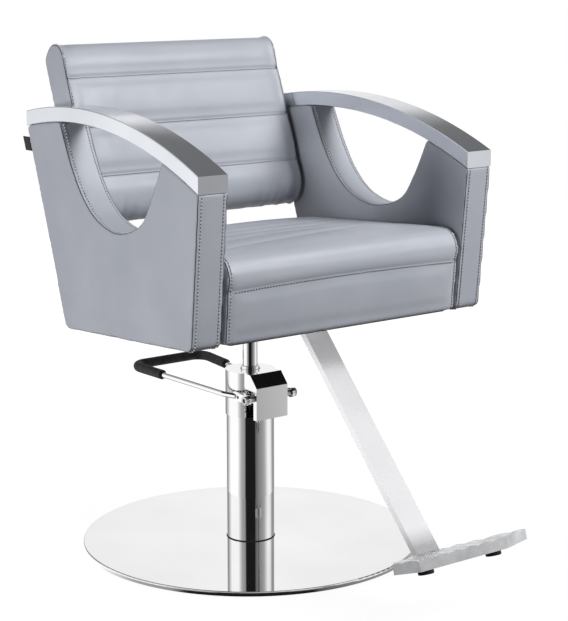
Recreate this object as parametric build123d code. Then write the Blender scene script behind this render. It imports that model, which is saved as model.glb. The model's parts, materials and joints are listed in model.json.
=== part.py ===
from build123d import *
from math import cos, radians, sin, sqrt, tan
import os

# Styling chair, in millimetres. The origin is the centre of the round base on the floor, +Z is up,
# the sitter faces -Y, and X runs across the chair.

# Base and column
BASE_R = 317.5
BASE_TOP = 10.0
MAT_R = 303.0
MAT_H = 2.0
COLUMN_R = 45.0
COLUMN_WALL = 2.0
RESERVOIR_R = 42.0
RESERVOIR_WALL = 3.0
RESERVOIR_FLOOR = 14.0
HEAD_BOTTOM = 250.0
HEAD_TOP = 335.0
BASE_BOLT_CIRCLE = 30.0

# Hydraulic cylinder, piston and swivel
PISTON_R = 14.0
BORE_GAP = 0.05
CYLINDER_R = 19.0
CYLINDER_FLOOR = 21.0
PISTON_BOTTOM = 50.0
SHOULDER_Z = 392.0
SPIGOT_R = 11.0
SPIGOT_TOP = 427.0
WASHER_H = 2.8
SOCKET_BOTTOM = 395.0
SOCKET_R = 27.0
GLAND_R = 17.5
GLAND_H = 6.0

# Pump head
HEAD_R = 47.0
BOX_HALF_X = 36.0
BOX_FRONT_Y = -67.5
BOX_BOTTOM = 252.0
BOX_SHOULDER_Z = 312.5
BEVEL_REAR_Y = -47.7
BOX_WALL = 5.0
BOX_FRONT_WALL = 2.0
WINDOW_FRONT_Y = -58.0
WINDOW_REAR_Y = -29.0
WINDOW_TOP = 284.0

# Pump lever, its shaft and the plunger that it works
SHAFT_Y = -59.4
SHAFT_Z = 292.3
SHAFT_R = 5.5
LEVER_RISE = 1.75
LEVER_ROD_R = 5.25
GRIP_R = 9.3
LEVER_REACH = 333.4
LEVER_HALF_END = 84.0
LEVER_HALF_KNEE = 60.0
LEVER_KNEE = 62.0
GRIP_START = 240.0
LEVER_PLATE_X = 50.5
LEVER_PLATE_T = 5.0
CAM_ARM = 20.0
CAM_DROP = 6.0
PLUNGER_Y = SHAFT_Y + 18.4
PLUNGER_R = 5.5
BLOCK_TOP = 267.0

# Seat: its underside leans back by SEAT_TILT and crosses the swivel axis at SEAT_Z
SEAT_Z = 440.0
SEAT_TILT = 3.7
SEAT_HALF = 251.0
SEAT_H = 153.5
APRON_H = 91.5
APRON_FOOT_V = -278.5
APRON_SEAM_V = -286.5
SEAT_NOSE_V = -297.0
SEAT_NOSE_R = 38.0
SEAT_REAR_V = 140.0
SEAT_REAR_R = 30.0
SEAT_BOLT_W = 48.0
SEAT_BOLT_VS = (-200.0, 70.0)
SEAT_BOLT_TIP_X = 297.0
SEAT_SPACER_X = 264.0
FRAME_T = 18.0
FRAME_H = 78.0
FRAME_SKIN = 14.0
COVER_T = 2.0
DUST_COVER_LAP = 4.0

# Seat bracket
PLATE_HALF = 90.0
PLATE_T = 6.0
PLATE_BOLT = 70.0

# Side panels and arm rails: both lie on planes that close in towards the rear
PANEL_FRONT_X = 325.0
PANEL_YAW = 1.13
PANEL_T = 61.0
PANEL_FRONT_Y = -296.0
PANEL_REAR_Y = 261.0
PANEL_FOOT_FRONT = (-272.0, 456.0)
PANEL_FOOT_REAR = (135.0, 430.0)
PANEL_FOOT_R = 14.0
CORE_T = 22.0
CORE_INSET = 14.0
RAIL_CENTRE = (85.5, -83.0)
RAIL_UNDER_R = 887.5
RAIL_T = 27.0
RAIL_WIDTH = 59.0
RAIL_EDGE = 1.2
RAIL_SWING = 30.0
# The arm opening, from the top of the front leg round to the top of the rear leg
ARM_OPENING = [
    (-207, 797), (-187, 758), (-155, 695), (-118, 647), (-50, 626),
    (18, 640), (68, 677), (105, 729), (137, 793), (158, 845),
]

ARM_OPENING_CENTRE = (-35.0, 800.0)
CORE_OPENING_K = 1.09
LABEL_X = -312.5
LABEL_LOW = 742.0
LABEL_HIGH = 767.0
LABEL_DEPTH = 21.0
LABEL_T = 1.6

# Back cushion: a leaning pad with a half-round top and a full roll under its front
BACK_HALF = 250.0
BACK_LEAN = 19.4
BACK_T = 62.0
BACK_TOP_CENTRE = (270.7, 902.0)
BACK_ROLL_R = 50.0
BACK_ROLL_W = -259.6
BACK_BOARD_T = 18.0
BACK_BOARD_HALF = 225.0
BACK_BOARD_FOOT_W = -294.0
BACK_BOARD_TOP_W = -12.0
BACK_STUD_WS = (-143.0, -215.0)
BACK_STUD_X = (200.0, 290.0)
BACK_SPACER_X = 257.0

# Footrest
BAR_W = 50.0
BAR_T = 12.0
BAR_TOP_POINT = (-194.1, 429.6)
BAR_FOOT_POINT = (-492.2, 107.7)
BAR_BEND_R = 22.0
BAR_SLOT_V = 30.0
BAR_SLOT_GAP = 0.4
FLANGE_REAR_Y = -97.0
FLANGE_FRONT_V = -215.0
FLANGE_BOLT_VS = (-112.0, -150.0)
TREAD_FRONT_Y = -583.0
TREAD_FRONT_Z = 139.0
TREAD_TILT = 18.3
TREAD_DEPTH = 74.0
TREAD_H = 20.0
TREAD_TOP_T = 8.0
TREAD_FLAT_HALF = 98.0
TREAD_HALF = 149.0
TREAD_WING_RISE = 6.0
TREAD_SKIRT = 5.0
# One half of the tread's plan, from its front middle round to its rear middle: a crescent
TREAD_PLAN = [(98, 0), (149, 5), (147, 9), (100, 60), (60, 74)]
RIDGE_PITCH = 33.0
RIDGE_H = 3.0
PAD_X = 76.0
PAD_V = 15.0
PAD_R = 13.5
PAD_H = 7.0
PAD_BOSS_R = 11.0

SEAT = Pos(0, 0, SEAT_Z) * Rot(-SEAT_TILT, 0, 0)
BACK = Pos(0, *BACK_TOP_CENTRE) * Rot(-BACK_LEAN, 0, 0)
TREAD = Pos(0, TREAD_FRONT_Y, TREAD_FRONT_Z) * Rot(-TREAD_TILT, 0, 0)
LEVER = Pos(0, SHAFT_Y, SHAFT_Z) * Rot(LEVER_RISE, 0, 0)
SIDES = {"left": -1, "right": 1}

os.makedirs("parts", exist_ok=True)


def save(node, *solids):
    """Write one node, from one solid or a group of separate solids."""
    loose = [s for shape in solids for s in shape.solids()]
    shape = loose[0] if len(loose) == 1 else Compound(children=loose)
    export_step(shape, f"parts/{node}.step")


def rod(start, end, radius):
    """A round bar between two points."""
    axis = Vector(*end) - Vector(*start)
    return extrude(Plane(Vector(*start), z_dir=axis) * Circle(radius), axis.length)


def disc(radius, z0, z1, x=0.0, y=0.0):
    return rod((x, y, z0), (x, y, z1), radius)


def block(x0, x1, y0, y1, z0, z1):
    return Pos((x0 + x1) / 2, (y0 + y1) / 2, (z0 + z1) / 2) * Box(x1 - x0, y1 - y0, z1 - z0)


def across(face, half):
    """A section drawn in Y and Z, as thick as 2 * half across the chair."""
    return extrude(Plane.YZ * face, half, both=True)


def polygon(*points):
    return make_face(Polyline(*points, close=True))


def round_corner(face, point, radius):
    """Round the corner of a section that lies nearest to `point`."""
    target = Vector(*point)
    corner = min(face.vertices(), key=lambda v: (Vector(*v) - target).length)
    return fillet(corner, radius)


def hexagon_head(across_flats, height):
    return extrude(RegularPolygon(across_flats / sqrt(3), 6), height)


def meeting_point(p, p_dir, q, q_dir):
    """Where two lines in a plane cross."""
    cross = p_dir[0] * q_dir[1] - p_dir[1] * q_dir[0]
    t = ((q[0] - p[0]) * q_dir[1] - (q[1] - p[1]) * q_dir[0]) / cross
    return (p[0] + t * p_dir[0], p[1] + t * p_dir[1])


# ---------------------------------------------------------------- base and column


def base_bolt_spots():
    return [(BASE_BOLT_CIRCLE * cos(radians(a)), BASE_BOLT_CIRCLE * sin(radians(a)))
            for a in (45, 135, 225, 315)]


def build_base():
    head_depth = 5.0
    plate = disc(BASE_R, MAT_H, BASE_TOP)
    plate = fillet(plate.edges().filter_by(GeomType.CIRCLE).sort_by(Axis.Z)[-1], 3.0)
    reservoir = disc(RESERVOIR_R, BASE_TOP, HEAD_BOTTOM)
    reservoir -= disc(RESERVOIR_R - RESERVOIR_WALL, BASE_TOP + RESERVOIR_FLOOR, HEAD_BOTTOM)
    mat = disc(MAT_R, 0, MAT_H)
    bolts = []
    for x, y in base_bolt_spots():
        mat -= disc(9.0, 0, MAT_H, x, y)
        plate -= disc(9.0, MAT_H, MAT_H + head_depth, x, y)
        plate -= disc(5.2, MAT_H, BASE_TOP, x, y)
        reservoir -= disc(5.0, BASE_TOP, BASE_TOP + 12.0, x, y)
        shank = disc(4.8, MAT_H + head_depth, BASE_TOP + 11.0, x, y)
        head = disc(8.0, MAT_H + 0.5, MAT_H + head_depth, x, y)
        socket = Pos(x, y, MAT_H + 0.5) * hexagon_head(8.0, 3.0)
        bolts.append(shank + head - socket)
    save("base_disc", plate)
    save("base_mat", mat)
    save("base_bolts", *bolts)
    save("pump_reservoir", reservoir)
    cover = disc(COLUMN_R, BASE_TOP, HEAD_BOTTOM)
    cover -= disc(COLUMN_R - COLUMN_WALL, BASE_TOP, HEAD_BOTTOM)
    save("column_cover", cover)


def build_cylinder():
    floor_z = BASE_TOP + RESERVOIR_FLOOR
    cylinder = disc(CYLINDER_R, floor_z, HEAD_TOP)
    cylinder -= disc(PISTON_R + BORE_GAP, floor_z + CYLINDER_FLOOR, HEAD_TOP)
    save("pump_cylinder", cylinder)
    gland = disc(GLAND_R, HEAD_TOP, HEAD_TOP + GLAND_H)
    gland -= disc(PISTON_R + 0.1, HEAD_TOP, HEAD_TOP + GLAND_H)
    gland = chamfer(gland.edges().filter_by(GeomType.CIRCLE).sort_by(Axis.Z)[-1], 1.5)
    save("piston_wiper", gland)


def bevel_section(top_z, rear_y, inset=0.0):
    """Side view of the box of the pump head, with its sloping upper front."""
    front = BOX_FRONT_Y + inset
    return polygon(
        (front, BOX_BOTTOM), (front, BOX_SHOULDER_Z), (BEVEL_REAR_Y + inset, top_z),
        (rear_y, top_z), (rear_y, BOX_BOTTOM))


def build_pump_head():
    cap_t = 2.5
    roof = 6.0
    head = disc(HEAD_R, HEAD_BOTTOM, HEAD_TOP) + across(bevel_section(HEAD_TOP, 0), BOX_HALF_X)
    head -= disc(RESERVOIR_R + 1.0, HEAD_BOTTOM, HEAD_TOP - roof)
    head -= block(BOX_WALL - BOX_HALF_X, BOX_HALF_X - BOX_WALL, BOX_FRONT_Y + BOX_FRONT_WALL,
                  -20, BOX_BOTTOM - 5, BOX_SHOULDER_Z - 3)
    head -= disc(CYLINDER_R, HEAD_TOP - roof, HEAD_TOP)
    head -= rod((-BOX_HALF_X, SHAFT_Y, SHAFT_Z), (BOX_HALF_X, SHAFT_Y, SHAFT_Z),
                SHAFT_R + BORE_GAP)
    # Window in each side wall of the box, open at the bottom
    head -= block(-BOX_HALF_X, BOX_HALF_X, WINDOW_FRONT_Y, WINDOW_REAR_Y, HEAD_BOTTOM, WINDOW_TOP)
    slope = Vector(0, BEVEL_REAR_Y - BOX_FRONT_Y, HEAD_TOP - BOX_SHOULDER_Z)
    seat_plane = Plane((0, BOX_FRONT_Y, BOX_SHOULDER_Z), x_dir=(1, 0, 0),
                       z_dir=Vector(1, 0, 0).cross(slope))
    cap = extrude(seat_plane * Pos(0, slope.length / 2) * Rectangle(
        2 * BOX_HALF_X - 2, slope.length - 1), -cap_t)
    save("pump_head", head - cap)
    save("pump_head_cap", cap)


def build_valve():
    valve = block(-14, 14, -56, -19, BOX_BOTTOM, BLOCK_TOP)
    valve -= disc(CYLINDER_R, BOX_BOTTOM, BLOCK_TOP)
    valve -= disc(PLUNGER_R + BORE_GAP, BOX_BOTTOM, BLOCK_TOP, 0, PLUNGER_Y)
    save("valve_block", valve)
    top = SHAFT_Z - CAM_DROP - 0.3
    plunger = disc(PLUNGER_R, 260.0, top, 0, PLUNGER_Y) + disc(8.5, top - 3, top, 0, PLUNGER_Y)
    save("pump_plunger", plunger)
    wire_r = 0.6
    height = top - 3 - BLOCK_TOP - 2 * wire_r - 0.2
    coil = Helix(pitch=height / 4, height=height, radius=7.2)
    spring = sweep(Plane(coil @ 0, z_dir=coil % 0) * Circle(wire_r), path=coil, is_frenet=True)
    save("plunger_spring", Pos(0, PLUNGER_Y, BLOCK_TOP + wire_r + 0.1) * spring)


# ---------------------------------------------------------------- pump lever


def lever_path(start=None):
    """Centre line of the bent lever rod, in the lever's own plane; `start` keeps only the loop end."""
    knee, reach = LEVER_KNEE, LEVER_REACH
    corner = (LEVER_HALF_END, reach)
    if start is None:
        points = [(LEVER_PLATE_X, knee - 26), (LEVER_HALF_KNEE, knee), corner]
        radii = [18, 25, 25, 18]
    else:
        share = (start - knee) / (reach - knee)
        x = LEVER_HALF_KNEE + share * (LEVER_HALF_END - LEVER_HALF_KNEE)
        points = [(x, start), corner]
        radii = [25, 25]
    both = [(-x, y) for x, y in points] + [(x, y) for x, y in reversed(points)]
    return FilletPolyline(*both, radius=radii)


def build_lever():
    head_t = 6.0
    path = lever_path()
    lever = sweep(Plane(path @ 0, z_dir=path % 0) * Circle(LEVER_ROD_R), path=path)
    bolts = []
    for side in SIDES.values():
        outer = side * (LEVER_PLATE_X + LEVER_PLATE_T / 2)
        inner = side * (LEVER_PLATE_X - LEVER_PLATE_T / 2)
        plate = Pos((LEVER_KNEE - 20) / 2, 0) * Rectangle(LEVER_KNEE - 20, 15) + Circle(9.0)
        plate = Pos(side * LEVER_PLATE_X, 0, 0) * across(plate, LEVER_PLATE_T / 2)
        lever += plate
        lever -= rod((inner, 0, 0), (outer, 0, 0), SHAFT_R + BORE_GAP)
        lever -= rod((inner, 27, 0), (outer, 27, 0), 3.2)
        head = rod((outer, 0, 0), (outer + side * head_t, 0, 0), 8.0)
        head -= rod((outer + side * 3, 0, 0), (outer + side * head_t, 0, 0), 4.0)
        bolts.append(head)
    save("lever_rod", LEVER * lever)
    save("lever_bolts", *[LEVER * b for b in bolts])
    path = lever_path(GRIP_START)
    section = Plane(path @ 0, z_dir=path % 0) * (Circle(GRIP_R) - Circle(LEVER_ROD_R))
    save("lever_grip", LEVER * sweep(section, path=path))
    half = LEVER_PLATE_X + LEVER_PLATE_T / 2
    save("lever_shaft", LEVER * rod((-half, 0, 0), (half, 0, 0), SHAFT_R))
    boss = Circle(9.0) & Pos(5, 5) * Rectangle(16, 22)
    arm = polygon((-2, 9), (9, 9), (CAM_ARM, 0), (CAM_ARM, -CAM_DROP), (-2, -CAM_DROP))
    cam = across(boss + arm - Circle(SHAFT_R), 9.0)
    save("lever_cam", Pos(0, SHAFT_Y, SHAFT_Z) * cam)


# ---------------------------------------------------------------- piston and swivel


def build_piston():
    seal_spots = (58.0, 80.0)
    piston = disc(PISTON_R, PISTON_BOTTOM, SHOULDER_Z)
    piston += disc(SPIGOT_R, SHOULDER_Z, SPIGOT_TOP)
    seals = []
    for z in seal_spots:
        ring = disc(PISTON_R, z, z + 3) - disc(PISTON_R - 2, z, z + 3)
        piston -= ring
        seals.append(ring)
    save("piston", piston)
    save("piston_seals", *seals)
    washer = disc(20.0, SHOULDER_Z, SHOULDER_Z + WASHER_H)
    washer -= disc(SPIGOT_R, SHOULDER_Z, SHOULDER_Z + WASHER_H)
    save("thrust_washer", washer)


def build_bracket():
    gusset_t = 6.0
    plate = SEAT * block(-PLATE_HALF, PLATE_HALF, -PLATE_HALF, PLATE_HALF, -PLATE_T, 0)
    top = SEAT_Z - PLATE_T / 2
    hub = disc(SOCKET_R, SOCKET_BOTTOM, top)
    rib = polygon((-70, top), (-SOCKET_R, SOCKET_BOTTOM + 8), (SOCKET_R, SOCKET_BOTTOM + 8), (70, top))
    side_rib = across(rib, gusset_t / 2)
    cross_rib = extrude(Plane.XZ * rib, gusset_t / 2, both=True)
    reach = 2 * PLATE_HALF
    below_seat = SEAT * block(-reach, reach, -reach, reach, -reach, -PLATE_T)
    socket = (hub + side_rib + cross_rib) & below_seat
    long_rib = SEAT * block(-gusset_t / 2, gusset_t / 2, -66, 66, -PLATE_T - 3, -PLATE_T)
    bracket = plate + socket + long_rib
    bracket -= disc(SPIGOT_R + BORE_GAP, SOCKET_BOTTOM, SPIGOT_TOP + 1)
    holes = [SEAT * rod((x, v, -PLATE_T), (x, v, FRAME_T - 1.5), 4.1) for x, v in plate_bolt_spots()]
    bolts = []
    for x, v in plate_bolt_spots():
        head = Pos(x, v, -PLATE_T) * Rot(180, 0, 0) * hexagon_head(13.0, 5.3)
        bolts.append(SEAT * (head + rod((x, v, -PLATE_T), (x, v, FRAME_T - 2), 4.0)))
    for hole in holes:
        bracket -= hole
    save("seat_bracket", bracket)
    save("bracket_bolts", *bolts)
    return holes


def plate_bolt_spots():
    return [(x, v) for x in (-PLATE_BOLT, PLATE_BOLT) for v in (-PLATE_BOLT, PLATE_BOLT)]


# ---------------------------------------------------------------- seat


def side_bolt_spots():
    """Heights and depths, in the seat's own frame, of the bolts that join the seat to the panels."""
    return [(v, SEAT_BOLT_W) for v in SEAT_BOLT_VS]


def lining(section):
    """The outline of what a cover of COVER_T holds."""
    return offset(section, -COVER_T, kind=Kind.INTERSECTION)


def seat_section():
    """Side view of the cushion, in the seat's own frame: apron, overhanging nose, top and rear."""
    face = polygon(
        (APRON_FOOT_V, 0), (APRON_SEAM_V, APRON_H), (SEAT_NOSE_V, APRON_H + 20),
        (SEAT_NOSE_V, SEAT_H), (SEAT_REAR_V, SEAT_H), (SEAT_REAR_V, 0))
    face = round_corner(face, (SEAT_NOSE_V, SEAT_H), SEAT_NOSE_R)
    return round_corner(face, (SEAT_REAR_V, SEAT_H), SEAT_REAR_R)


def build_seat(bracket_holes, flange_holes, panels):
    section = seat_section()
    outer = SEAT * across(section, SEAT_HALF)
    inner = SEAT * across(lining(section), SEAT_HALF - COVER_T)
    x1 = SEAT_HALF - FRAME_SKIN
    v0, v1 = APRON_FOOT_V + FRAME_SKIN, SEAT_REAR_V - FRAME_SKIN
    frame = block(-x1, x1, v0, v1, 0, FRAME_H)
    frame -= block(FRAME_T - x1, x1 - FRAME_T, v0 + FRAME_T, v1 - FRAME_T, FRAME_T, FRAME_H)
    frame = SEAT * frame
    cover = outer - inner - frame
    foam = inner - frame
    for hole in [*bracket_holes, *flange_holes]:
        frame -= hole
    bolts, spacers = [], []
    for name, side in SIDES.items():
        for v, w in side_bolt_spots():
            inner, tip = side * (x1 - FRAME_T), side * SEAT_BOLT_TIP_X
            shank = SEAT * rod((inner, v, w), (tip, v, w), 4.0)
            head = SEAT * rod((inner - side * 6, v, w), (inner, v, w), 7.0)
            hole = SEAT * rod((inner, v, w), (tip + side, v, w), 4.1)
            frame -= hole
            cover -= hole
            foam -= hole
            foam -= head
            panels[name] = [piece - hole for piece in panels[name]]
            bolts.append(shank + head)
            spacer = SEAT * rod((side * SEAT_HALF, v, w), (side * SEAT_SPACER_X, v, w), 12.0)
            spacers.append(spacer - hole - panels[name][0])
    save("seat_cover", cover)
    save("seat_foam", foam)
    save("seat_frame", frame)
    save("seat_side_bolts", *bolts)
    save("seat_side_spacers", *spacers)
    lap = DUST_COVER_LAP
    cloth = block(-x1 - lap, x1 + lap, v0 - lap, v1 + lap, -1.0, 0)
    cloth -= block(-PLATE_HALF - 1, PLATE_HALF + 1, -PLATE_HALF - 1, PLATE_HALF + 1, -1.0, 0)
    cloth -= block(-BAR_W / 2 - 1, BAR_W / 2 + 1, FLANGE_FRONT_V, -PLATE_HALF, -1.0, 0)
    save("seat_dust_cover", SEAT * cloth)


# ---------------------------------------------------------------- side panels and arm rails


def arc_z(y, radius):
    """Height of an arm rail arc at depth y."""
    return RAIL_CENTRE[1] + sqrt(radius**2 - (y - RAIL_CENTRE[0]) ** 2)


def rail_arc(radius, y0, y1):
    ys = (y0, (y0 + y1) / 2, y1)
    return ThreePointArc(*[(y, arc_z(y, radius)) for y in ys])


def panel_section():
    top = rail_arc(RAIL_UNDER_R, PANEL_FRONT_Y, PANEL_REAR_Y)
    outline = make_face([
        top, Polyline(top @ 1, PANEL_FOOT_REAR, PANEL_FOOT_FRONT, top @ 0)])
    for foot in (PANEL_FOOT_FRONT, PANEL_FOOT_REAR):
        outline = round_corner(outline, foot, PANEL_FOOT_R)
    return outline - spline_face(ARM_OPENING)


def spline_face(points):
    return make_face([Spline(*points), Line(points[-1], points[0])])


def core_section():
    """The timber core: the panel's outline drawn in, but carried up to the rail in both legs."""
    top = rail_arc(RAIL_UNDER_R, PANEL_FRONT_Y + CORE_INSET, PANEL_REAR_Y - CORE_INSET)
    rear = (PANEL_FOOT_REAR[0] - CORE_INSET, PANEL_FOOT_REAR[1] + CORE_INSET)
    front = (PANEL_FOOT_FRONT[0] + CORE_INSET, PANEL_FOOT_FRONT[1] + CORE_INSET)
    outline = make_face([top, Polyline(top @ 1, rear, front, top @ 0)])
    cy, cz = ARM_OPENING_CENTRE
    wider = [(cy + CORE_OPENING_K * (y - cy), cz + CORE_OPENING_K * (z - cz)) for y, z in ARM_OPENING]
    return outline - spline_face(wider)


def on_panel_plane(side, solid):
    """Turn a piece built square to the chair onto the plane of a side panel."""
    pivot = Pos(side * PANEL_FRONT_X, PANEL_FRONT_Y, 0)
    return pivot * Rot(0, 0, side * PANEL_YAW) * pivot.inverse() * solid


def rail_bar():
    """An arm rail: a flat section with broken edges, turned about the rail's centre, with upright ends."""
    mid_r = RAIL_UNDER_R + RAIL_T / 2
    section = Rectangle(RAIL_WIDTH, RAIL_T)
    section = Plane.XZ * Pos(0, mid_r) * chamfer(section.vertices(), RAIL_EDGE)
    bar = Rot(-RAIL_SWING, 0, 0) * revolve(section, Axis.X, 2 * RAIL_SWING)
    half = RAIL_WIDTH / 2
    return Pos(0, *RAIL_CENTRE) * bar & block(
        -half, half, PANEL_FRONT_Y, PANEL_REAR_Y, RAIL_CENTRE[1], RAIL_CENTRE[1] + 2 * mid_r)


def build_panels():
    section = panel_section()
    core_face = core_section()
    stud_ys = (-240.0, 205.0)
    panels, rails, studs = {}, {}, []
    for name, side in SIDES.items():
        mid = side * (PANEL_FRONT_X - PANEL_T / 2)
        core = Pos(mid, 0, 0) * across(core_face, CORE_T / 2)
        cover = Pos(mid, 0, 0) * across(section, PANEL_T / 2) - core
        rail = Pos(mid, 0, 0) * rail_bar()
        for y in stud_ys:
            z = arc_z(y, RAIL_UNDER_R)
            studs.append(on_panel_plane(side, disc(4.0, z - 50, z + 14, mid, y)))
            hole = disc(4.05, z - 51, z + 15, mid, y)
            core -= hole
            cover -= hole
            rail -= hole
        panels[name] = [on_panel_plane(side, cover), on_panel_plane(side, core)]
        rails[name] = on_panel_plane(side, rail)
    for name, rail in rails.items():
        save(f"{name}_arm_rail", rail)
    save("rail_studs", *studs)
    return panels


def build_label(cover):
    """A blank fabric tab sewn into the rear seam of one side panel."""
    sewn_in = 2.0
    top = arc_z(PANEL_REAR_Y, RAIL_UNDER_R)
    lean = (PANEL_REAR_Y - PANEL_FOOT_REAR[0]) / (top - PANEL_FOOT_REAR[1])
    low_y, high_y = [PANEL_REAR_Y - (top - z) * lean for z in (LABEL_LOW, LABEL_HIGH)]
    tab = polygon((low_y - sewn_in, LABEL_LOW), (low_y + LABEL_DEPTH, LABEL_LOW),
                  (high_y + LABEL_DEPTH, LABEL_HIGH), (high_y - sewn_in, LABEL_HIGH))
    save("side_label", Pos(LABEL_X, 0, 0) * across(tab, LABEL_T / 2) - cover)


# ---------------------------------------------------------------- back


def back_section():
    half = BACK_T / 2
    centre_v = BACK_ROLL_R - half
    bottom_w = BACK_ROLL_W - sqrt(BACK_ROLL_R**2 - (half - centre_v) ** 2)
    diagonal = BACK_ROLL_R * sqrt(0.5)
    face = make_face([
        ThreePointArc((-half, 0), (0, half), (half, 0)),
        Line((half, 0), (half, bottom_w)),
        ThreePointArc((half, bottom_w), (centre_v - diagonal, BACK_ROLL_W - diagonal),
                      (-half, BACK_ROLL_W)),
        Line((-half, BACK_ROLL_W), (-half, 0))])
    return fillet(face.vertices().sort_by(Axis.Y)[0], 9.0)


def build_back(panels):
    board = BACK * block(-BACK_BOARD_HALF, BACK_BOARD_HALF, -BACK_BOARD_T / 2, BACK_BOARD_T / 2,
                         BACK_BOARD_FOOT_W, BACK_BOARD_TOP_W)
    section = back_section()
    outer = BACK * across(section, BACK_HALF)
    inner = BACK * across(lining(section), BACK_HALF - COVER_T)
    cover = outer - inner
    foam = inner - board
    root, tip = BACK_STUD_X
    studs, spacers = [], []
    for name, side in SIDES.items():
        for w in BACK_STUD_WS:
            stud = BACK * rod((side * root, 0, w), (side * tip, 0, w), 4.0)
            hole = BACK * rod((side * (root - 1), 0, w), (side * (tip + 1), 0, w), 4.1)
            board -= hole
            cover -= hole
            foam -= hole
            panels[name] = [piece - hole for piece in panels[name]]
            studs.append(stud)
            spacer = BACK * rod((side * BACK_HALF, 0, w), (side * BACK_SPACER_X, 0, w), 11.0)
            spacers.append(spacer - hole - panels[name][0])
    save("back_cover", cover)
    save("back_foam", foam)
    save("back_board", board)
    save("back_studs", *studs)
    save("back_spacers", *spacers)


# ---------------------------------------------------------------- footrest


def footrest_line():
    """Centre line of the bent flat bar, in Y and Z, from the seat to the tread."""
    seat_dir = (cos(radians(SEAT_TILT)), -sin(radians(SEAT_TILT)))
    seat_point = (0.0, SEAT_Z - BAR_T / 2 / cos(radians(SEAT_TILT)))
    bar_dir = tuple(b - a for a, b in zip(BAR_TOP_POINT, BAR_FOOT_POINT))
    tread_dir = (cos(radians(TREAD_TILT)), -sin(radians(TREAD_TILT)))
    depth = TREAD_TOP_T + BAR_T / 2
    tread_point = (TREAD_FRONT_Y - depth * sin(radians(TREAD_TILT)),
                   TREAD_FRONT_Z - depth * cos(radians(TREAD_TILT)))
    upper = meeting_point(BAR_TOP_POINT, bar_dir, seat_point, seat_dir)
    lower = meeting_point(BAR_TOP_POINT, bar_dir, tread_point, tread_dir)
    start = (FLANGE_REAR_Y, seat_point[1] - FLANGE_REAR_Y * tan(radians(SEAT_TILT)))
    inset = TREAD_SKIRT + 8
    end = (tread_point[0] + inset * tread_dir[0], tread_point[1] + inset * tread_dir[1])
    return [start, upper, lower, end]


def footrest_screw_spots():
    return [24.0, 56.0]


def build_footrest_bar():
    path = FilletPolyline(*[(0, y, z) for y, z in footrest_line()], radius=BAR_BEND_R)
    section = Plane(path @ 0, x_dir=(1, 0, 0), z_dir=path % 0) * Rectangle(BAR_W, BAR_T)
    bar = sweep(section, path=path)
    bolts, flange_holes = [], []
    for v in FLANGE_BOLT_VS:
        flange_holes.append(SEAT * rod((0, v, -BAR_T), (0, v, FRAME_T - 1.5), 4.1))
        head = Pos(0, v, -BAR_T) * Rot(180, 0, 0) * hexagon_head(13.0, 5.3)
        bolts.append(SEAT * (head + rod((0, v, -BAR_T), (0, v, FRAME_T - 2), 4.0)))
    screws = []
    underside = -TREAD_TOP_T - BAR_T
    for v in footrest_screw_spots():
        cone = Pos(0, v, underside) * Cone(6.0, 3.0, 3.0, align=(Align.CENTER, Align.CENTER, Align.MIN))
        screws.append(TREAD * (cone + rod((0, v, underside), (0, v, -5), 3.0)))
        bar -= TREAD * (cone + rod((0, v, underside), (0, v, -4), 3.05))
    for hole in flange_holes:
        bar -= hole
    save("footrest_bar", bar)
    save("footrest_bolts", *bolts)
    save("tread_screws", *screws)
    return flange_holes


def tread_top_points():
    """Valleys of the ridged top from one end to the other, in the tread's own frame."""
    count = int(TREAD_HALF // RIDGE_PITCH)
    xs = [-TREAD_HALF, *[i * RIDGE_PITCH for i in range(-count, count + 1)], TREAD_HALF]
    return [(x, wing_rise(x) - RIDGE_H) for x in xs]


def wing_rise(x):
    span = TREAD_HALF - TREAD_FLAT_HALF
    return TREAD_WING_RISE * max(0.0, abs(x) - TREAD_FLAT_HALF) / span


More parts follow.
